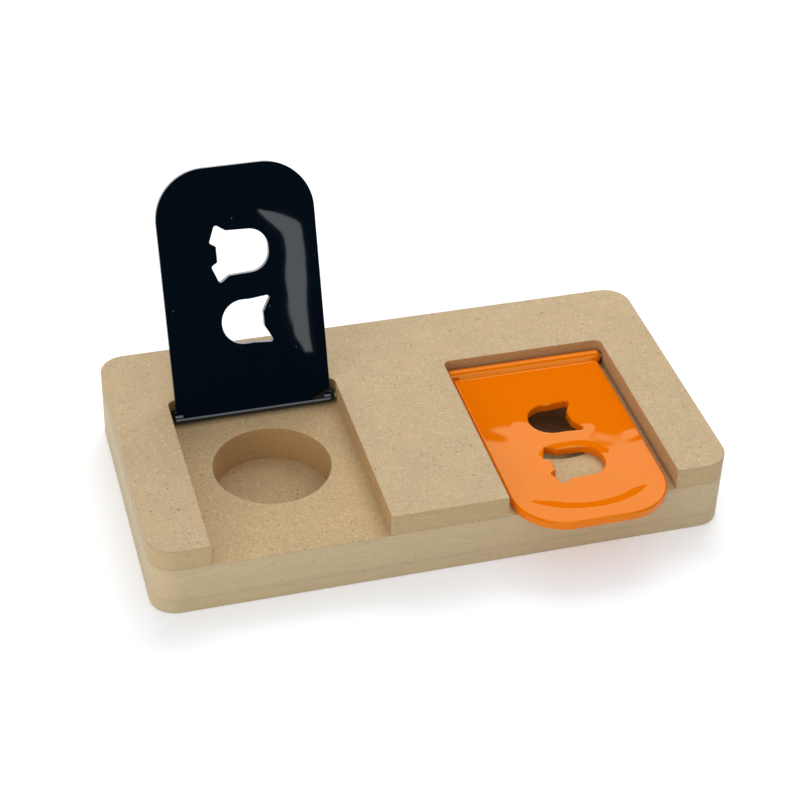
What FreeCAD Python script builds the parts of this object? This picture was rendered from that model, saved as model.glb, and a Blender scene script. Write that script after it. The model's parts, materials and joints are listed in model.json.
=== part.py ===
import FreeCAD, Part
import math
import os

# Treat puzzle for dogs: a slab of three glued boards with two round wells, each under a
# hinged lid that lies in a channel of the top board and is lifted at its front end.
# X runs along the slab, Y from the front to the back and Z up. The origin is the centre
# of the slab's underside. The lid on the left stands open and the one on the right is shut.

V = FreeCAD.Vector

# Slab, outside sizes and board thicknesses
slab_length = 222.0
slab_depth = 120.0
slab_corner_r = 10.0
base_board_t = 6.0
well_board_t = 15.0
channel_board_t = 9.0

# Channels through the top board, open at the front
side_rail = 22.0
channel_width = 66.5
back_margin = 33.5
channel_corner_r = 3.0

# Wells through the middle board
well_d = 45.0
well_setback = 50.0

# Lids: a flat plate with a hinge bar along its back edge
lid_t = 3.2
lid_side_gap = 2.65
lid_floor_gap = 0.2
lid_overhang = 12.7
lid_corner_r = 19.5
lid_edge_r = 0.9
lid_rest_gap = 0.35
plate_in_bar = 0.6

# Hinge: the bar turns on a steel pin whose ends lie in grooves under the top board
bar_d = 5.6
bar_back_gap = 0.4
bar_end_gap = 0.5
bar_end_r = 2.2
bar_root_r = 1.6
bar_root_inset = 2.5
pin_d = 3.0
pin_running_gap = 0.06
pin_seat_gap = 0.05
pin_seat_depth = 6.0

# Cut-outs in each lid: a cat's head over the well and a dog's head near the free end
cat_setback = 61.0
dog_setback = 33.5
cut_edge_bevel = 0.4
cut_out_room = 16.0

# Places that follow from the sizes above
channel_floor_z = base_board_t + well_board_t
slab_top_z = channel_floor_z + channel_board_t
front_y = -slab_depth / 2
channel_back_y = slab_depth / 2 - back_margin
channel_x = slab_length / 2 - side_rail - channel_width / 2
well_y = front_y + well_setback
bar_r = bar_d / 2
pin_r = pin_d / 2
axis_y = channel_back_y - bar_back_gap - bar_r
axis_z = channel_floor_z + lid_floor_gap + bar_r
lid_width = channel_width - 2 * lid_side_gap
lid_reach = axis_y - front_y + lid_overhang
plate_top = lid_t - bar_r
bar_length = channel_width - 2 * bar_end_gap


def open_angle():
    """Degrees from shut to leaning on the top edge of the channel's back wall."""
    edge_y = channel_back_y - axis_y
    edge_z = slab_top_z - axis_z
    reach = math.hypot(edge_y, edge_z)
    return math.degrees(math.atan2(edge_y, edge_z) + math.acos((plate_top + lid_rest_gap) / reach))


def rounded_face(corners):
    """Flat face through corners (x, y, radius), each rounded by its own tangent arc."""
    count = len(corners)
    stretches = []
    for i in range(count):
        before = V(corners[i - 1][0], corners[i - 1][1], 0)
        here = V(corners[i][0], corners[i][1], 0)
        after = V(corners[(i + 1) % count][0], corners[(i + 1) % count][1], 0)
        to_before = (before - here).normalize()
        to_after = (after - here).normalize()
        half = to_before.getAngle(to_after) / 2
        radius = corners[i][2]
        run = radius / math.tan(half)
        inward = (to_before + to_after).normalize()
        middle = here + inward * (radius / math.sin(half) - radius)
        stretches.append((here + to_before * run, middle, here + to_after * run))
    edges = []
    for i in range(count):
        start, middle, end = stretches[i]
        edges.append(Part.Arc(start, middle, end).toShape())
        following = stretches[(i + 1) % count][0]
        if end.distanceToPoint(following) > 1e-6:
            edges.append(Part.makeLine(end, following))
    return Part.Face(Part.Wire(edges))


def board(thickness, bottom_z):
    """One board of the slab, with the slab's rounded corners."""
    half_x = slab_length / 2
    half_y = slab_depth / 2
    signs = [(-1, -1), (1, -1), (1, 1), (-1, 1)]
    face = rounded_face([(sx * half_x, sy * half_y, slab_corner_r) for sx, sy in signs])
    face.translate(V(0, 0, bottom_z))
    return face.extrude(V(0, 0, thickness))


def base_board():
    return board(base_board_t, 0)


def well_board():
    solid = board(well_board_t, base_board_t)
    for side in (-1, 1):
        centre = V(side * channel_x, well_y, base_board_t)
        solid = solid.cut(Part.makeCylinder(well_d / 2, well_board_t, centre))
    return solid


def channel_cutter(centre_x):
    """The space of one channel, which runs out past the slab's front face."""
    half = channel_width / 2
    outside_y = front_y - slab_corner_r
    square = channel_corner_r / 2
    corners = [
        (centre_x - half, outside_y, square),
        (centre_x + half, outside_y, square),
        (centre_x + half, channel_back_y, channel_corner_r),
        (centre_x - half, channel_back_y, channel_corner_r),
    ]
    face = rounded_face(corners)
    face.translate(V(0, 0, channel_floor_z))
    return face.extrude(V(0, 0, channel_board_t))


def pin_groove(centre_x):
    """Groove for one pin in the underside of the top board, round above the pin."""
    radius = pin_r + pin_seat_gap
    length = channel_width + 2 * (pin_seat_depth + pin_seat_gap)
    start = V(centre_x - length / 2, axis_y, axis_z)
    round_top = Part.makeCylinder(radius, length, start, V(1, 0, 0))
    slot_base = V(start.x, axis_y - radius, channel_floor_z)
    slot = Part.makeBox(length, 2 * radius, axis_z - channel_floor_z, slot_base)
    return round_top.fuse(slot)


def channel_board():
    solid = board(channel_board_t, channel_floor_z)
    for side in (-1, 1):
        solid = solid.cut(channel_cutter(side * channel_x))
        solid = solid.cut(pin_groove(side * channel_x))
    return solid


def cat_outline():
    """Cat's head about its own centre, with two pointed ears towards +X."""
    half = [(-9.4, 9.0, 8.6), (2.4, 8.7, 1.5), (10.8, 9.5, 1.1), (7.1, 2.8, 0.5)]
    return half + [(x, -y, r) for x, y, r in reversed(half)]


def dog_outline():
    """Dog's head about its own centre, with hanging ears towards -X."""
    half = [(-8.8, 3.0, 0.4), (-11.3, 4.6, 0.9), (-8.6, 11.6, 1.0), (-4.6, 8.8, 1.5), (11.4, 8.2, 7.6)]
    return half + [(x, -y, r) for x, y, r in reversed(half)]


def cut_out(outline, setback):
    """Cutter for one cut-out and its rim's bevel, as far from the plate's free end as its setback."""
    block = Part.makeBox(2 * cut_out_room, 2 * cut_out_room, lid_t, V(-cut_out_room, -cut_out_room, 0))
    rest = block.cut(rounded_face(outline).extrude(V(0, 0, lid_t)))
    rim = [edge for edge in rest.Edges if edge.BoundBox.ZMin > lid_t - 1e-4 and is_inland(edge)]
    cutter = block.cut(rest.makeChamfer(cut_edge_bevel, rim))
    cutter.translate(V(0, setback - lid_reach, -bar_r))
    return cutter


def is_inland(edge):
    """True for an edge that lies clear of the outside of a cut-out's block."""
    box = edge.BoundBox
    return max(abs(box.XMin), abs(box.XMax), abs(box.YMin), abs(box.YMax)) < cut_out_room - 0.1


def lid_plate():
    """Plate with a soft upper edge, whose back edge lies inside the hinge bar."""
    half = lid_width / 2
    back = -bar_r + plate_in_bar
    corners = [
        (-half, -lid_reach, lid_corner_r),
        (half, -lid_reach, lid_corner_r),
        (half, back, plate_in_bar),
        (-half, back, plate_in_bar),
    ]
    face = rounded_face(corners)
    face.translate(V(0, 0, -bar_r))
    plate = face.extrude(V(0, 0, lid_t))
    upper = [edge for edge in plate.Edges if edge.BoundBox.ZMin > plate_top - 1e-4]
    plate = plate.makeFillet(lid_edge_r, upper)
    plate = plate.cut(cut_out(cat_outline(), cat_setback))
    return plate.cut(cut_out(dog_outline(), dog_setback))


def lid_bar():
    """Hinge bar with rounded ends, as a revolved profile about the hinge axis."""
    half = bar_length / 2
    shoulder = half - bar_end_r
    low = bar_r - bar_end_r
    slant = bar_end_r * math.sqrt(0.5)
    points = [V(0, 0, 0), V(half, 0, 0), V(half, low, 0), V(shoulder, bar_r, 0), V(0, bar_r, 0)]
    bulge = V(shoulder + slant, low + slant, 0)
    edges = [
        Part.makeLine(points[0], points[1]),
        Part.makeLine(points[1], points[2]),
        Part.Arc(points[2], bulge, points[3]).toShape(),
        Part.makeLine(points[3], points[4]),
        Part.makeLine(points[4], points[0]),
    ]
    right = Part.Face(Part.Wire(edges)).revolve(V(0, 0, 0), V(1, 0, 0), 360)
    left = right.mirror(V(0, 0, 0), V(1, 0, 0))
    return right.fuse(left).removeSplitter()


def lid_root():
    """Hollow round above and flush web below, which join the bar to the plate."""
    rise = plate_top + bar_root_r
    spread = math.sqrt((bar_r + bar_root_r) ** 2 - rise ** 2)
    share = bar_r / (bar_r + bar_root_r)
    on_plate = V(0, -spread, plate_top)
    on_bar = V(0, -spread * share, rise * share)
    lean = math.atan2(rise, spread) / 2 + math.pi / 4
    hollow = V(0, -spread + bar_root_r * math.cos(lean), rise - bar_root_r * math.sin(lean))
    edges = [
        Part.Arc(on_plate, hollow, on_bar).toShape(),
        Part.makeLine(on_bar, V(0, 0, 0)),
        Part.makeLine(V(0, 0, 0), V(0, 0, -bar_r)),
        Part.makeLine(V(0, 0, -bar_r), V(0, -spread, -bar_r)),
        Part.makeLine(V(0, -spread, -bar_r), on_plate),
    ]
    length = lid_width - 2 * bar_root_inset
    root = Part.Face(Part.Wire(edges)).extrude(V(length, 0, 0))
    root.translate(V(-length / 2, 0, 0))
    return root


def lid():
    """One lid about its hinge axis, lying shut towards -Y."""
    bore_r = pin_r + pin_running_gap
    solid = lid_plate().fuse(lid_bar()).fuse(lid_root()).removeSplitter()
    bore = Part.makeCylinder(bore_r, channel_width, V(-channel_width / 2, 0, 0), V(1, 0, 0))
    return solid.cut(bore)


def placed_lid(side, opened):
    """A lid on its hinge axis, turned up by the angle that it stands open."""
    solid = lid()
    solid.rotate(V(0, 0, 0), V(1, 0, 0), -opened)
    solid.translate(V(side * channel_x, axis_y, axis_z))
    return solid


def lid_pin(side):
    """Steel pin through one lid's bar, with its ends in the top board's grooves."""
    length = channel_width + 2 * pin_seat_depth
    start = V(side * channel_x - length / 2, axis_y, axis_z)
    return Part.makeCylinder(pin_r, length, start, V(1, 0, 0))


def main():
    os.makedirs("parts", exist_ok=True)
    left, right = -1, 1
    nodes = {
        "base_board": base_board(),
        "well_board": well_board(),
        "channel_board": channel_board(),
        "black_lid": placed_lid(left, open_angle()),
        "orange_lid": placed_lid(right, 0),
        "black_lid_pin": lid_pin(left),
        "orange_lid_pin": lid_pin(right),
    }
    for name, solid in nodes.items():
        solid.exportStep("parts/" + name + ".step")
        print(name, "valid", solid.isValid(), "solids", len(solid.Solids), "volume", round(solid.Volume, 1))
    print("open angle", round(open_angle(), 3), "hinge axis y z", axis_y, axis_z, "reach", lid_reach)


main()
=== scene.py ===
import json
import math

import bmesh
import bpy
from mathutils import Matrix, Vector


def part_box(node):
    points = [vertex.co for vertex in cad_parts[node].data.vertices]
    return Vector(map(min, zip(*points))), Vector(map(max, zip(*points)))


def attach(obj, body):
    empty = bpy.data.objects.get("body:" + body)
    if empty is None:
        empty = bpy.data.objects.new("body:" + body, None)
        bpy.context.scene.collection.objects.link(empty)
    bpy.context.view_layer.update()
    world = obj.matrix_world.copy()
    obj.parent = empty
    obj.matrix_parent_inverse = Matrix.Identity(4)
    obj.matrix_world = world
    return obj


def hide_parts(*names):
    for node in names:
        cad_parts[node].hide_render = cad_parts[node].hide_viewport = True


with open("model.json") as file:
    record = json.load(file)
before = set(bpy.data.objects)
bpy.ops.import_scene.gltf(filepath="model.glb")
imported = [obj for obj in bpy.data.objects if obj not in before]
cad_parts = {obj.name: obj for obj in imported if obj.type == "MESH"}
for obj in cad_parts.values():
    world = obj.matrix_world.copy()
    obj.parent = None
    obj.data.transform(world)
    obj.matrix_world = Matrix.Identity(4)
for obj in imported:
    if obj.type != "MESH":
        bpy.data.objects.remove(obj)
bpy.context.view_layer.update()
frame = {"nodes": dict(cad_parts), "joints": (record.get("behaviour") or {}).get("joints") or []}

bl_info = {
    "name": "Treat puzzle slab",
    "version": (1, 0, 0),
    "blender": (4, 5, 0),
    "location": "View3D > Sidebar > Treat Puzzle",
    "description": "Finishes the boards and moulded lids of a treat puzzle and sets them in a studio",
    "category": "Object",
}

MM = 0.001
SLAB_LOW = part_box("base_board")[0]
SLAB_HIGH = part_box("channel_board")[1]
LOWER_JOINT_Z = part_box("base_board")[1].z
UPPER_JOINT_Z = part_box("well_board")[1].z
BOARDS = ("base_board", "well_board", "channel_board")

# Each lid's hinge, and the angle from shut to open, which is the same for both lids
HINGE = {joint["child"]: Vector(joint["pos_m"]) for joint in frame["joints"]}
OPEN_ANGLE = math.radians(frame["joints"][0]["range_deg"][1])

# How near counts as one point or one height, and how far a flat place and a corner turn
ONE_POINT = 0.001 * MM
ONE_HEIGHT = 0.01 * MM
FLAT_TURN = math.radians(0.5)
CORNER_TURN = math.radians(50)

# Sizes of the slab that the frame's boxes don't give, as in the part's source
SLAB_CORNER = 10 * MM
CHANNEL_WIDTH = 66.5 * MM
CHANNEL_BACK_Y = 26.5 * MM
WELL_RADIUS = 22.5 * MM
WELL_Y = -10 * MM

# Ovals on a shut lid, measured from its hinge: centre X and Y, then half sizes in X and Y
CAT_HEAD = (0.7 * MM, -35 * MM, 9.8 * MM, 9.2 * MM)
DOG_HEAD = (0.0, -62.5 * MM, 11.2 * MM, 9.2 * MM)
SCUFFED_SPOT = (-7 * MM, -77 * MM, 6 * MM, 3 * MM)

# Specks in the fibreboard: their lean in radians, and how many fit in a metre along each axis
PALE_SPECKS = (0.5, (640, 1080, 800))
MORE_PALE_SPECKS = (-0.8, (980, 560, 800))
DARK_SPECKS = (1.3, (760, 980, 800))
BARK_SPECKS = (-0.3, (360, 520, 500))

# Loose fibres: their radii, how far they stray, and their least and most turn and share of full size
FIBRE_SEED = 7
FIBRE_ROOT = 0.06 * MM
FIBRE_TIP = 0.02 * MM
FIBRE_STRAY = (0.25 * MM, 0.25 * MM, 0.05 * MM)
FIBRE_TURNS = ((1.25, 0, 0), (1.85, 0.3, 2 * math.pi))
FIBRE_SHARES = (0.4, 1.0)

# The edges that fibres stand on: how far into the wood, and how far below the slab's top face
RIM_INSET = 0.12 * MM
RIM_DROP = 0.15 * MM

# Studio, in metres, and the camera's sensor in millimetres
FLOOR_HALF = 6.0
FLOOR_DROP = 0.05 * MM
ROOM_RADIUS = 40.0
SHEET_LENGTH = 1.1
SHEET_WIDTH = 0.8
SENSOR_WIDTH = 36.0


# Small tools for meshes

def new_object(name, mesh):
    piece = bpy.data.objects.new(name, mesh)
    bpy.context.scene.collection.objects.link(piece)
    return piece


def mesh_from(form, name):
    mesh = bpy.data.meshes.new(name)
    form.to_mesh(mesh)
    form.free()
    return mesh


def set_material(piece, material):
    piece.data.materials.clear()
    piece.data.materials.append(material)


def apply_modifiers(piece):
    """Works a piece's modifiers into a plain mesh of its own."""
    graph = bpy.context.evaluated_depsgraph_get()
    mesh = bpy.data.meshes.new_from_object(piece.evaluated_get(graph))
    piece.modifiers.clear()
    piece.data = mesh


def is_glued(edge):
    """True for a level edge at the height of a glued joint."""
    middle = (edge.verts[0].co + edge.verts[1].co) / 2
    level = abs(edge.verts[0].co.z - edge.verts[1].co.z) < ONE_HEIGHT
    joint = min(abs(middle.z - LOWER_JOINT_Z), abs(middle.z - UPPER_JOINT_Z)) < ONE_HEIGHT
    return level and joint


def is_well_rim(edge):
    """True for an edge round the top of a well, where the channel's floor is open."""
    middle = (edge.verts[0].co + edge.verts[1].co) / 2
    lid_above = HINGE["left_lid"] if middle.x < 0 else HINGE["right_lid"]
    reach = (middle.xy - Vector((lid_above.x, WELL_Y))).length
    return middle.z > UPPER_JOINT_Z - ONE_HEIGHT and reach < WELL_RADIUS + 0.5 * MM


def board_mesh(node):
    """The CAD board with whole faces again, its free edges marked for wear and its glued ones sharp."""
    mesh = frame["nodes"][node].data.copy()
    form = bmesh.new()
    form.from_mesh(mesh)
    bmesh.ops.remove_doubles(form, verts=form.verts, dist=ONE_POINT)
    bmesh.ops.dissolve_limit(form, angle_limit=FLAT_TURN, verts=form.verts, edges=form.edges)
    weight = form.edges.layers.float.new("bevel_weight_edge")
    for edge in form.edges:
        free = not is_glued(edge) or (node == "well_board" and is_well_rim(edge))
        turns = edge.calc_face_angle(0) > CORNER_TURN
        edge[weight] = 1.0 if free and turns else 0.0
        edge.smooth = free or not turns
    form.to_mesh(mesh)
    form.free()
    if "custom_normal" in mesh.attributes:
        mesh.attributes.remove(mesh.attributes["custom_normal"])
    return mesh


# Shader maths

class Wire:
    """A shader socket that adds Math nodes when it is used in an expression."""

    def __init__(self, paint, socket):
        self.paint = paint
        self.socket = socket

    def maths(self, operation, *others):
        values = dict(enumerate((self, *others)))
        return self.paint.node("ShaderNodeMath", {"operation": operation}, values)

    def reflected(self, operation, other):
        return self.paint.node("ShaderNodeMath", {"operation": operation}, {0: other, 1: self})

    def __add__(self, other):
        return self.maths("ADD", other)

    def __radd__(self, other):
        return self.reflected("ADD", other)

    def __sub__(self, other):
        return self.maths("SUBTRACT", other)

    def __rsub__(self, other):
        return self.reflected("SUBTRACT", other)

    def __mul__(self, other):
        return self.maths("MULTIPLY", other)

    def __rmul__(self, other):
        return self.reflected("MULTIPLY", other)

    def __truediv__(self, other):
        return self.maths("DIVIDE", other)

    def __pow__(self, other):
        return self.maths("POWER", other)

    def __abs__(self):
        return self.maths("ABSOLUTE")

    def __neg__(self):
        return self * -1

    def larger(self, other):
        return self.maths("MAXIMUM", other)

    def smaller(self, other):
        return self.maths("MINIMUM", other)

    def step(self, low, high):
        """Smooth ramp from 0 at low to 1 at high."""
        return self.ramp(low, high, "SMOOTHSTEP")

    def ramp(self, low, high, kind="LINEAR"):
        values = {"Value": self, "From Min": low, "From Max": high, "To Min": 0, "To Max": 1}
        return self.paint.node("ShaderNodeMapRange", {"interpolation_type": kind}, values)

    def between(self, low, high, soft):
        """1 from low to high, with soft borders."""
        return self.step(low, low + soft) * (1 - self.step(high - soft, high))


class Paint:
    """The node tree of a material, world or node group, and the one way to add nodes to it."""

    def __init__(self, owner):
        if isinstance(owner, bpy.types.NodeTree):
            self.tree = owner
        else:
            owner.use_nodes = True
            self.tree = owner.node_tree
        self.tree.nodes.clear()

    def node(self, kind, settings=None, values=None, output=0):
        made = self.tree.nodes.new(kind)
        for key, value in (settings or {}).items():
            setattr(made, key, value)
        for key, value in (values or {}).items():
            socket = made.inputs[key]
            if isinstance(value, Wire):
                self.tree.links.new(value.socket, socket)
            else:
                socket.default_value = value
        return Wire(self, made.outputs[output]) if made.outputs else None

    def place(self):
        """Object coordinates, in metres."""
        return self.node("ShaderNodeTexCoord", output="Object")

    def parts(self, vector):
        """The X, Y and Z of a vector."""
        return [self.node("ShaderNodeSeparateXYZ", {}, {0: vector}, output=i) for i in range(3)]

    def turned(self, vector, location=(0, 0, 0), rotation=(0, 0, 0), scale=(1, 1, 1)):
        values = {"Vector": vector, "Location": location, "Rotation": rotation, "Scale": scale}
        return self.node("ShaderNodeMapping", {}, values)

    def noise(self, vector, scale, detail, roughness=0.5, distortion=0.0):
        """Soft noise from 0 to 1, with as many marks in a metre as its scale."""
        values = {"Vector": vector, "Scale": scale, "Detail": detail, "Roughness": roughness}
        values["Distortion"] = distortion
        return self.node("ShaderNodeTexNoise", {}, values)

    def cells(self, vector, scale=1.0):
        """Distance from the middle of the nearest of scattered cells, in cells."""
        return self.node("ShaderNodeTexVoronoi", {}, {"Vector": vector, "Scale": scale})

    def specks(self, place, lean, scale):
        """Cells that are stretched and that lean in the plane of a board."""
        return self.cells(self.turned(place, rotation=(0, 0, lean), scale=scale))

    def blend(self, amount, first, second):
        """One colour over another."""
        values = {"Factor": amount, 6: colour_value(first), 7: colour_value(second)}
        return self.node("ShaderNodeMix", {"data_type": "RGBA"}, values, output=2)

    def bump(self, height, distance, strength=1.0):
        values = {"Height": height, "Distance": distance, "Strength": strength}
        return self.node("ShaderNodeBump", {}, values)

    def finish(self, surface):
        self.node("ShaderNodeOutputMaterial", {}, {"Surface": surface})

    def rays(self):
        """1 for what the camera, gloss and glass see, and 0 for the light that falls on things."""
        seen = self.node("ShaderNodeLightPath", output="Is Camera Ray")
        glossy = self.node("ShaderNodeLightPath", output="Is Glossy Ray")
        through = self.node("ShaderNodeLightPath", output="Is Transmission Ray")
        return (seen + glossy + through).smaller(1)


def colour_value(value):
    """A socket as it is, or a plain colour with its alpha."""
    return value if isinstance(value, Wire) else (*value, 1)


def linear(red, green, blue):
    """A colour picked as 0 to 255 screen values, as scene light."""
    levels = (red / 255, green / 255, blue / 255)
    return tuple(((c + 0.055) / 1.055) ** 2.4 if c > 0.04045 else c / 12.92 for c in levels)


def shade(colour, amount):
    """A colour made darker or paler by an amount near 1."""
    return tuple(c * amount for c in colour)


# Materials

def fibreboard(settings, node, side, top):
    """Raw fibreboard: flecked faces, sawn outer sides, and cut walls browner from the router and from
    painted shade.
    """
    material = bpy.data.materials.new("fibreboard_" + node)
    paint = Paint(material)
    place = paint.place()
    x, y, z = paint.parts(place)
    low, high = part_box(node)

    # Which part of the board a point is on: a flat face, a sawn outer side or a routed wall
    upright = abs(paint.parts(paint.node("ShaderNodeNewGeometry", output="Normal"))[2])
    face = upright.step(0.5, 0.9)
    corner_x = SLAB_HIGH.x - SLAB_CORNER
    outer_x = abs(x).step(corner_x - 1.0 * MM, corner_x - 0.9 * MM)
    outer_y = abs(y).step(SLAB_HIGH.y - 0.7 * MM, SLAB_HIGH.y - 0.6 * MM)
    routed = (1 - outer_x.larger(outer_y)) * (1 - face)

    # Marks of many sizes, and short fibres at all angles in the plane of the board
    drift = paint.noise(place, 70, 3, 0.55)
    mottle = paint.noise(place, 430, 3, 0.7)
    dust = paint.noise(place, 1500, 2, 0.6)
    pick = paint.noise(place, 520, 1)
    other_pick = paint.noise(paint.turned(place, location=(0.3, 0.1, 0.2)), 480, 1)
    bark_pick = paint.noise(place, 240, 0)
    pale = (1 - paint.specks(place, *PALE_SPECKS).step(0.20, 0.36)) * pick.step(0.46, 0.58)
    more_pale = 1 - paint.specks(place, *MORE_PALE_SPECKS).step(0.20, 0.34)
    pale = pale.larger(more_pale * other_pick.step(0.50, 0.60))
    dark = 1 - paint.specks(place, *DARK_SPECKS).step(0.20, 0.36)
    dark = dark * (1 - other_pick.step(0.40, 0.52))
    bark = (1 - paint.specks(place, *BARK_SPECKS).step(0.10, 0.18)) * bark_pick.step(0.52, 0.60)

    # Sides: faint streaks along the board and a thin shadow line at each glued face
    streaks = paint.noise(paint.turned(place, scale=(110, 110, 2400)), 1.0, 3, 0.6)
    edge_gap = (z - low.z).smaller(high.z - z)
    below_top = 1 - z.step(SLAB_HIGH.z - 2 * MM, SLAB_HIGH.z)
    joint_line = (1 - edge_gap.step(0.0, 0.22 * MM)) * below_top
    crust = 1 - edge_gap.step(0.2 * MM, 2.6 * MM)

    # The routed walls' tone is partly the cut's own browner colour and partly painted shade for the
    # channels and wells
    cut = settings.routed_and_shaded_tone
    fleck = settings.fleck_tone
    marks = 0.45 + face * 0.55
    ground = paint.blend(drift.step(0.32, 0.68), shade(top, 0.955), shade(top, 1.045))
    ground = paint.blend(mottle.step(0.30, 0.70) * 0.55, ground, shade(top, 0.90))
    sawn = paint.blend(streaks.step(0.30, 0.72), shade(side, 0.94), shade(side, 1.05))
    sawn = paint.blend(crust * 0.20, sawn, shade(side, 0.80))
    wall = paint.blend(streaks.step(0.30, 0.72), shade(cut, 0.92), shade(cut, 1.06))
    sawn = paint.blend(routed, sawn, wall)
    ground = paint.blend(face, sawn, ground)
    ground = paint.blend(dust.step(0.52, 0.66) * 0.16 * marks, ground, fleck)
    ground = paint.blend((1 - dust.step(0.34, 0.48)) * 0.30 * marks, ground, shade(top, 0.62))
    ground = paint.blend(pale * settings.pale_flecks * marks, ground, fleck)
    ground = paint.blend(dark * settings.dark_flecks * marks, ground, shade(top, 0.52))
    ground = paint.blend(bark * settings.bark_specks * marks, ground, settings.bark_tone)
    ground = paint.blend(joint_line * 0.40 * (1 - face), ground, shade(side, 0.45))

    height = pale * 0.4 + dust * 0.5 - dark * 0.5 - bark * 0.6 + streaks * (1 - face) * 0.5
    values = {
        "Base Color": ground,
        "Roughness": 0.56 + mottle * 0.14 + routed * 0.15,
        "Specular IOR Level": settings.board_gloss,
        "Sheen Weight": settings.board_fuzz,
        "Sheen Roughness": 0.35,
        "Normal": paint.bump(height, 0.10 * MM, 0.8),
    }
    paint.finish(paint.node("ShaderNodeBsdfPrincipled", {}, values))
    return material


def lid_place(paint, body, opened):
    """Coordinates of a lid as it lies shut about its own hinge axis, in metres."""
    place = paint.turned(paint.place(), location=tuple(-c for c in HINGE[body]))
    return paint.turned(place, rotation=(opened, 0, 0))


def beyond(x, y, oval):
    """How far outside an oval a point lies, in metres, and inside it less than 0."""
    centre_x, centre_y, radius_x, radius_y = oval
    across = x - centre_x
    along = (y - centre_y) * (radius_x / radius_y)
    return (across * across + along * along) ** 0.5 - radius_x


def lid_skin(settings, x, y, waves):
    """Height of a lid's skin: a swell at each cut-out, a dip past the dog's head, and waves."""
    dog_share = 0.6
    dip_share = 1.3
    cat_gap = beyond(x, y, CAT_HEAD)
    dog_gap = beyond(x, y, DOG_HEAD)
    cat_swell = 1 - cat_gap.step(0, settings.swell_width)
    dog_swell = (1 - dog_gap.step(0, settings.swell_width * dog_share)) * dog_share
    toward_end = 1 - y.step(DOG_HEAD[1] - 20 * MM, DOG_HEAD[1] - 14 * MM)
    dip = (dog_gap.step(17 * MM, 22.5 * MM) - 1) * toward_end
    swell = (cat_swell + dog_swell) * settings.swell_height
    return swell + dip * settings.swell_height * dip_share + waves * settings.wave_height


def bar_lip(y, z):
    """1 on the lip that the moulding leaves under the back of the hinge bar."""
    foot_turn = y.maths("ARCTAN2", -z)
    lip = foot_turn.ramp(math.radians(4), math.radians(26)) * y.step(-0.2 * MM, 0.2 * MM)
    return lip * (1 - z.step(-0.6 * MM, 0))


def gloss_plastic(settings, name, body, opened, base, gloss_tint, ripple):
    """Moulded plastic with a mirror-like skin, a little dust and a few scuffs by the dog's ear."""
    material = bpy.data.materials.new(name)
    paint = Paint(material)
    place = lid_place(paint, body, opened)
    x, y, z = paint.parts(place)
    waves = paint.noise(place, 42, 1.0, 0.4, 0.5)
    relief = lid_skin(settings, x, y, waves) * ripple + bar_lip(y, z) * settings.lip_height
    dust = (1 - paint.cells(place, 240).step(0.03, 0.06)) * paint.noise(place, 120, 0).step(0.60, 0.66)
    scuffs = 1 - paint.specks(place, 0.7, (500, 190, 500)).step(0.03, 0.09)
    scuffs = scuffs * paint.noise(place, 260, 0).step(0.56, 0.62)
    scuffs = scuffs * (1 - beyond(x, y, SCUFFED_SPOT).step(0, 2 * MM))
    colour = paint.blend(waves.step(0.3, 0.7) * 0.4, base, shade(base, 0.95))
    colour = paint.blend(dust * 0.30 + scuffs * 0.35, colour, linear(200, 202, 204))
    values = {
        "Base Color": colour,
        "Roughness": settings.roughness + dust * 0.3 + scuffs * 0.3,
        "IOR": 1.5,
        "Specular Tint": (*gloss_tint, 1),
        "Normal": paint.bump(relief, 1.0),
    }
    paint.finish(paint.node("ShaderNodeBsdfPrincipled", {}, values))
    return material


def drawn_steel():
    """Bright drawn wire with fine scratches along it."""
    material = bpy.data.materials.new("drawn_steel")
    paint = Paint(material)
    scratches = paint.noise(paint.turned(paint.place(), scale=(120, 5200, 5200)), 1.0, 2)
    colour = paint.blend(scratches, linear(150, 152, 156), linear(190, 191, 194))
    values = {
        "Base Color": colour,
        "Metallic": 1.0,
        "Roughness": 0.25 + scratches * 0.15,
        "Normal": paint.bump(scratches, 0.01 * MM, 0.5),
    }
    paint.finish(paint.node("ShaderNodeBsdfPrincipled", {}, values))
    return material


def loose_fibre():
    """Pale bundle of wood fibre that varies from straw to brown."""
    material = bpy.data.materials.new("loose_fibre")
    paint = Paint(material)
    vary = paint.noise(paint.place(), 900, 1)
    colour = paint.blend(vary.step(0.35, 0.65), linear(226, 204, 166), linear(176, 148, 106))
    values = {"Base Color": colour, "Roughness": 0.8, "Normal": paint.bump(vary, 0.02 * MM, 0.6)}
    paint.finish(paint.node("ShaderNodeBsdfPrincipled", {}, values))
    return material


def white_paper(lift):
    """Floor that is lit as it is but reads as white paper, with the object's shadow kept."""
    material = bpy.data.materials.new("white_paper")
    paint = Paint(material)
    x, y, z = paint.parts(paint.place())

    # Far out, where the lamps reach less, the paper is raised to the same white
    far = ((x * x + y * y) ** 0.5).step(0.25, 1.1)
    far_lift = 0.7
    values = {
        "Base Color": (0.90, 0.92, 0.95, 1),
        "Roughness": 0.9,
        "Specular IOR Level": 0.0,
        "Emission Color": paint.blend(far, (lift,) * 3, (far_lift,) * 3),
        "Emission Strength": paint.rays(),
    }
    paint.finish(paint.node("ShaderNodeBsdfPrincipled", {}, values))
    return material


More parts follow.
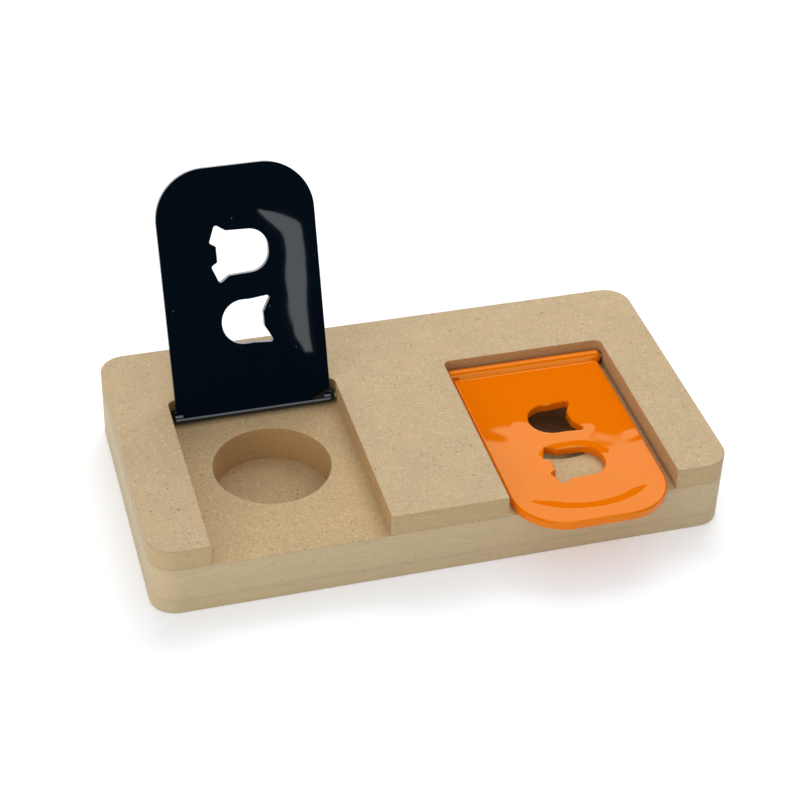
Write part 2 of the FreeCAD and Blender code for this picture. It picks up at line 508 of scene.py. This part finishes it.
def mirrored_room():
    """What gloss mirrors: a dark room, a lamp sheet behind, one before it and a bent strip window."""
    material = bpy.data.materials.new("mirrored_room")
    paint = Paint(material)
    x, y, z = paint.parts(paint.place())

    # A direction is a rise above the horizon and an angle from straight behind or before, in degrees
    degree = math.radians(1)
    rise = z.maths("ARCTAN2", (x * x + y * y) ** 0.5) / degree
    from_back = x.maths("ARCTAN2", y) / degree
    from_front = x.maths("ARCTAN2", -y) / degree
    lower_border = 38.3 - (from_back - 20) * 0.1
    back_sheet = (rise - lower_border).between(0, 50, 0.2) * from_back.between(-8, 75, 1.5)
    front_sheet = rise.between(18, 58, 1.0) * from_front.between(-30, 30, 2.0)

    # The strip is narrow at its foot, widest above its middle, and bends left to a point at its top
    strip_foot = 6.4
    strip_top = 10.85
    soft = 0.015
    narrowed = (1 - rise.step(strip_foot, 7.1)) * 0.22
    left = 10.65 + rise.step(8.6, 9.5) * 0.14 - rise.step(9.8, 10.75) * 0.58 + narrowed
    right = 11.08 + rise.step(7.0, 9.6) * 0.25 - rise.step(10.05, 10.9) * 1.1
    strip = (from_front - left).step(-soft, soft) * (right - from_front).step(-soft, soft)
    strip = strip * rise.between(strip_foot, strip_top, 0.05)

    # How bright each is: the dark room itself, then what hangs in it
    light = 0.015 + back_sheet * 1.9 + front_sheet * 2.6 + strip * 2.15
    values = {"Color": (0.93, 0.98, 1.0, 1), "Strength": light}
    paint.finish(paint.node("ShaderNodeEmission", {}, values))
    return material


# Settings

def tone(label, text, red, green, blue):
    return bpy.props.FloatVectorProperty(
        name=label, description=text, default=linear(red, green, blue), min=0, max=1, subtype="COLOR")


def length(label, text, size):
    return bpy.props.FloatProperty(
        name=label, description=text, default=size, min=0, subtype="DISTANCE", unit="LENGTH",
        precision=5)


def point(label, text, place):
    return bpy.props.FloatVectorProperty(
        name=label, description=text, default=place, subtype="XYZ", unit="LENGTH", precision=5)


def share(label, text, amount):
    return bpy.props.FloatProperty(
        name=label, description=text, default=amount, min=0, max=1, subtype="FACTOR")


def number(label, text, value, **kind):
    return bpy.props.FloatProperty(name=label, description=text, default=value, min=0, **kind)


def turn(label, text, degrees):
    return bpy.props.FloatProperty(
        name=label, description=text, default=math.radians(degrees), subtype="ANGLE",
        unit="ROTATION")


class BoardSettings(bpy.types.PropertyGroup):
    face_tone: tone("Face tone", "Colour of the top board's face", 198, 172, 133)
    floor_tone: tone("Floor tone", "Colour of the faces in the channels and wells", 197, 167, 122)
    top_side_tone: tone("Top side tone", "Colour of the top board's sides", 190, 164, 119)
    side_tone: tone("Side tone", "Colour of the other boards' sides", 201, 179, 140)
    # Partly the cut's own colour, darkened further as painted shade in the channels and wells
    routed_and_shaded_tone: tone("Routed tone", "Colour of walls cut by the router", 188, 150, 97)
    fleck_tone: tone("Fleck tone", "Colour of pale fibres", 228, 208, 172)
    bark_tone: tone("Bark tone", "Colour of dark bark specks", 96, 70, 46)
    pale_flecks: share("Pale flecks", "How strongly pale fibres show", 0.46)
    dark_flecks: share("Dark flecks", "How strongly dark fibres show", 0.42)
    bark_specks: share("Bark specks", "How strongly bark shows", 0.75)
    board_gloss: share("Board gloss", "How strongly the board mirrors at a low angle", 0.5)
    board_fuzz: share("Board fuzz", "Pale bloom of loose fibres at a low angle", 0.12)
    arris: length("Arris", "Width of the worn edge round each board", 0.45 * MM)
    fibre_spacing: length("Fibre spacing", "From one loose fibre to the next", 0.55 * MM)
    fibre_length: length("Fibre length", "Length of a loose fibre", 0.45 * MM)


class LidSettings(bpy.types.PropertyGroup):
    black_tone: tone("Black tone", "Colour of the black lid", 4, 14, 24)
    orange_tone: tone("Orange tone", "Colour of the orange lid", 238, 117, 0)
    roughness: share("Roughness", "How blurred the lids' gloss is", 0.015)
    wave_height: length("Wave height", "Height of the moulding's gentle waves", 0.16 * MM)
    swell_height: length("Swell height", "Rise of the skin at a cut-out's edge", 0.09 * MM)
    swell_width: length("Swell width", "How far the rise reaches from a cut-out", 8 * MM)
    black_ripple: share("Black ripple", "Share of the waves and swells on the black lid", 0.05)
    lip_height: length("Lip height", "Rise of the lip under the hinge bar", 0.55 * MM)


class StudioSettings(bpy.types.PropertyGroup):
    camera_target: point("Aim", "What the camera looks at", (4.67 * MM, 24.96 * MM, 15 * MM))
    camera_distance: length("Distance", "From the aim to the camera", 811.23 * MM)
    camera_turn: turn("Turn", "How far the camera stands to the right of the front", -16.87)
    camera_rise: turn("Rise", "The camera's height angle", 37.54)
    camera_roll: turn("Roll", "The camera's roll", 2.07)
    lens: number("Lens", "Focal length in millimetres", 90.87, unit="CAMERA")
    sky_low: number("Low sky", "Even light from all round", 0.40)
    sky_high: number("High sky", "More light from overhead", 0.40)
    floor_lift: share("Floor lift", "How far the paper floor is raised to white", 0.23)
    back_place: point("Back place", "Where the back lamp sheet hangs", (0.28, 0.75, 0.95))
    back_power: number("Back power", "Power of the back lamp sheet", 8.5, subtype="POWER")
    front_place: point("Front place", "Where the front lamp sheet hangs", (-1.13, -0.75, 0.45))
    front_power: number("Front power", "Power of the front lamp sheet", 6.6, subtype="POWER")


# Operators

class PUZZLE_OT_boards(bpy.types.Operator):
    """Finishes the three boards of the slab with worn edges and raw fibreboard"""
    bl_idname = "puzzle.boards"
    bl_label = "Finish Boards"

    def execute(self, context):
        settings = context.scene.puzzle_boards
        side_tones = {"channel_board": settings.top_side_tone}
        face_tones = {"channel_board": settings.face_tone}
        for node in BOARDS:
            piece = new_object(node + "_finished", board_mesh(node))
            bevel = piece.modifiers.new("Arris", "BEVEL")
            bevel.width = settings.arris
            bevel.segments = 3
            bevel.limit_method = "WEIGHT"
            piece.data.shade_smooth()
            flat = piece.modifiers.new("Flat Faces", "WEIGHTED_NORMAL")
            flat.keep_sharp = True
            apply_modifiers(piece)
            side = side_tones.get(node, settings.side_tone)
            top = face_tones.get(node, settings.floor_tone)
            set_material(piece, fibreboard(settings, node, side, top))
            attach(piece, "slab")
            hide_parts(node)
        return {"FINISHED"}


def routed_edges():
    """Edges where a cutter left loose fibres: the channels' side rims and one floor's front edge."""
    rim_z = SLAB_HIGH.z - RIM_DROP
    front_y = SLAB_LOW.y + 1.5 * MM
    back_y = CHANNEL_BACK_Y - 4 * MM
    paths = []
    for body in ("left_lid", "right_lid"):
        for side in (-1, 1):
            x = HINGE[body].x + side * (CHANNEL_WIDTH / 2 + RIM_INSET)
            paths.append(((x, front_y, rim_z), (x, back_y, rim_z)))
    middle = HINGE["left_lid"].x
    reach = CHANNEL_WIDTH / 2 - 1 * MM
    floor_y = SLAB_LOW.y + 0.1 * MM
    floor_z = UPPER_JOINT_Z - RIM_INSET
    paths.append(((middle - reach, floor_y, floor_z), (middle + reach, floor_y, floor_z)))
    form = bmesh.new()
    for path in paths:
        form.edges.new([form.verts.new(end) for end in path])
    return mesh_from(form, "routed_edges")


def fibre_tree(material):
    """Node group that stands short loose fibres along a mesh's edges."""
    tree = bpy.data.node_groups.new("loose_fibres", "GeometryNodeTree")
    paint = Paint(tree)
    given_sockets = {
        "Edges": "NodeSocketGeometry",
        "Spacing": "NodeSocketFloat",
        "Fibre Length": "NodeSocketFloat",
        "Seed": "NodeSocketInt",
    }
    for name, kind in given_sockets.items():
        tree.interface.new_socket(name, in_out="INPUT", socket_type=kind)
    tree.interface.new_socket("Fibres", in_out="OUTPUT", socket_type="NodeSocketGeometry")
    given = tree.nodes.new("NodeGroupInput")
    edges, spacing, fibre_length, seed = (Wire(paint, given.outputs[i]) for i in range(4))
    curve = paint.node("GeometryNodeMeshToCurve", {}, {"Mesh": edges})
    points = paint.node(
        "GeometryNodeCurveToPoints", {"mode": "LENGTH"}, {"Curve": curve, "Length": spacing})
    least_stray = tuple(-size for size in FIBRE_STRAY)
    stray = paint.node(
        "FunctionNodeRandomValue", {"data_type": "FLOAT_VECTOR"},
        {"Min": least_stray, "Max": FIBRE_STRAY, "Seed": seed})
    points = paint.node("GeometryNodeSetPosition", {}, {"Geometry": points, "Offset": stray})
    fibre = paint.node(
        "GeometryNodeMeshCone", {},
        {"Vertices": 5, "Radius Top": FIBRE_TIP, "Radius Bottom": FIBRE_ROOT, "Depth": fibre_length})
    turned = paint.node(
        "FunctionNodeRandomValue", {"data_type": "FLOAT_VECTOR"},
        {"Min": FIBRE_TURNS[0], "Max": FIBRE_TURNS[1], "Seed": seed + 1})
    sized = paint.node(
        "FunctionNodeRandomValue", {"data_type": "FLOAT"},
        {2: FIBRE_SHARES[0], 3: FIBRE_SHARES[1], "Seed": seed + 2}, 1)
    fibres = paint.node(
        "GeometryNodeInstanceOnPoints", {},
        {"Points": points, "Instance": fibre, "Rotation": turned, "Scale": sized})
    fibres = paint.node("GeometryNodeRealizeInstances", {}, {"Geometry": fibres})
    fibres = paint.node("GeometryNodeSetMaterial", {}, {"Geometry": fibres, "Material": material})
    paint.node("NodeGroupOutput", {}, {0: fibres})
    return tree


class PUZZLE_OT_fibres(bpy.types.Operator):
    """Leaves short loose fibres along the routed edges"""
    bl_idname = "puzzle.fibres"
    bl_label = "Add Loose Fibres"

    def execute(self, context):
        settings = context.scene.puzzle_boards
        piece = new_object("loose_fibres", routed_edges())
        tree = fibre_tree(loose_fibre())
        modifier = piece.modifiers.new("Loose Fibres", "NODES")
        modifier.node_group = tree
        given = {
            "Spacing": settings.fibre_spacing,
            "Fibre Length": settings.fibre_length,
            "Seed": FIBRE_SEED,
        }
        for item in tree.interface.items_tree:
            if item.name in given:
                modifier[item.identifier] = given[item.name]
        apply_modifiers(piece)
        if not piece.data.polygons:
            raise RuntimeError("the loose fibres came out empty")
        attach(piece, "slab")
        return {"FINISHED"}


class PUZZLE_OT_lids(bpy.types.Operator):
    """Gives both moulded lids their gloss plastic"""
    bl_idname = "puzzle.lids"
    bl_label = "Finish Lids"

    def execute(self, context):
        settings = context.scene.puzzle_lids
        plain_gloss = (1, 1, 1)
        warm_gloss = (1, 0.95, 0.25)
        black = gloss_plastic(
            settings, "black_gloss", "left_lid", OPEN_ANGLE, settings.black_tone, plain_gloss,
            settings.black_ripple)
        orange = gloss_plastic(
            settings, "orange_gloss", "right_lid", 0.0, settings.orange_tone, warm_gloss, 1.0)
        set_material(frame["nodes"]["black_lid"], black)
        set_material(frame["nodes"]["orange_lid"], orange)
        return {"FINISHED"}


class PUZZLE_OT_pins(bpy.types.Operator):
    """Gives the two hinge pins their drawn steel"""
    bl_idname = "puzzle.pins"
    bl_label = "Finish Pins"

    def execute(self, context):
        steel = drawn_steel()
        for node in ("black_lid_pin", "orange_lid_pin"):
            set_material(frame["nodes"][node], steel)
        return {"FINISHED"}


class PUZZLE_OT_studio(bpy.types.Operator):
    """Builds the pale floor, the soft light, the mirrored room and the camera"""
    bl_idname = "puzzle.studio"
    bl_label = "Build Studio"

    def execute(self, context):
        settings = context.scene.puzzle_studio
        scene = context.scene
        scene.view_settings.view_transform = "Standard"
        self.build_floor(settings)
        self.build_world(scene, settings)
        self.build_room()
        self.build_sheet(scene, "back_sheet", Vector(settings.back_place), settings.back_power)
        self.build_sheet(scene, "front_sheet", Vector(settings.front_place), settings.front_power)
        self.build_camera(scene, settings)
        return {"FINISHED"}

    def build_floor(self, settings):
        form = bmesh.new()
        bmesh.ops.create_grid(form, x_segments=1, y_segments=1, size=FLOOR_HALF)
        bmesh.ops.translate(form, verts=form.verts, vec=(0, 0, SLAB_LOW.z - FLOOR_DROP))
        floor = new_object("studio_floor", mesh_from(form, "studio_floor"))
        set_material(floor, white_paper(settings.floor_lift))

    def build_room(self):
        form = bmesh.new()
        bmesh.ops.create_uvsphere(form, u_segments=64, v_segments=32, radius=ROOM_RADIUS)
        bmesh.ops.reverse_faces(form, faces=form.faces)
        room = new_object("mirrored_room", mesh_from(form, "mirrored_room"))
        set_material(room, mirrored_room())
        room.visible_camera = False
        room.visible_diffuse = False
        room.visible_transmission = False
        room.visible_shadow = False

    def build_world(self, scene, settings):
        world = bpy.data.worlds.new("studio_sky")
        scene.world = world
        paint = Paint(world)
        direction = paint.node("ShaderNodeTexCoord", output="Generated")
        upward = paint.parts(direction)[2].larger(0)
        lit = settings.sky_low + upward * upward * settings.sky_high
        white = paint.rays()
        strength = lit * (1 - white) + white
        values = {"Color": (1, 1, 1, 1), "Strength": strength}
        background = paint.node("ShaderNodeBackground", {}, values)
        paint.node("ShaderNodeOutputWorld", {}, {"Surface": background})

    def build_sheet(self, scene, name, place, power):
        lamp = bpy.data.lights.new(name, "AREA")
        lamp.shape = "RECTANGLE"
        lamp.size = SHEET_LENGTH
        lamp.size_y = SHEET_WIDTH
        lamp.energy = power
        holder = bpy.data.objects.new(name, lamp)
        holder.location = place
        holder.rotation_euler = (-place).to_track_quat("-Z", "Y").to_euler()
        holder.visible_glossy = False
        scene.collection.objects.link(holder)

    def build_camera(self, scene, settings):
        turned = settings.camera_turn
        rise = settings.camera_rise
        roll = settings.camera_roll
        flat = math.cos(rise)
        back = Vector((math.sin(turned) * flat, -math.cos(turned) * flat, math.sin(rise)))
        sideways = Vector((0, 0, 1)).cross(back).normalized()
        upright = back.cross(sideways)
        right = sideways * math.cos(roll) + upright * math.sin(roll)
        up = upright * math.cos(roll) - sideways * math.sin(roll)
        pose = Matrix((right, up, back)).transposed().to_4x4()
        pose.translation = Vector(settings.camera_target) + back * settings.camera_distance
        data = bpy.data.cameras.new("camera")
        data.lens = settings.lens
        data.sensor_width = SENSOR_WIDTH
        camera = bpy.data.objects.new("camera", data)
        camera.matrix_world = pose
        scene.collection.objects.link(camera)
        scene.camera = camera


class PUZZLE_PT_panel(bpy.types.Panel):
    """The steps that finish the treat puzzle"""
    bl_idname = "PUZZLE_PT_panel"
    bl_label = "Treat Puzzle"
    bl_space_type = "VIEW_3D"
    bl_region_type = "UI"
    bl_category = "Treat Puzzle"

    def draw(self, context):
        for step in STEPS:
            self.layout.operator(step.bl_idname)


STEPS = (PUZZLE_OT_boards, PUZZLE_OT_fibres, PUZZLE_OT_lids, PUZZLE_OT_pins, PUZZLE_OT_studio)
GROUPS = {
    "puzzle_boards": BoardSettings,
    "puzzle_lids": LidSettings,
    "puzzle_studio": StudioSettings,
}


def register():
    for kind in (*GROUPS.values(), *STEPS, PUZZLE_PT_panel):
        bpy.utils.register_class(kind)
    for name, group in GROUPS.items():
        setattr(bpy.types.Scene, name, bpy.props.PointerProperty(type=group))


def unregister():
    for name in GROUPS:
        delattr(bpy.types.Scene, name)
    for kind in (PUZZLE_PT_panel, *reversed(STEPS), *GROUPS.values()):
        bpy.utils.unregister_class(kind)


def main():
    register()
    bpy.ops.puzzle.boards()
    bpy.ops.puzzle.fibres()
    bpy.ops.puzzle.lids()
    bpy.ops.puzzle.pins()
    bpy.ops.puzzle.studio()


if __name__ == "__main__":
    main()
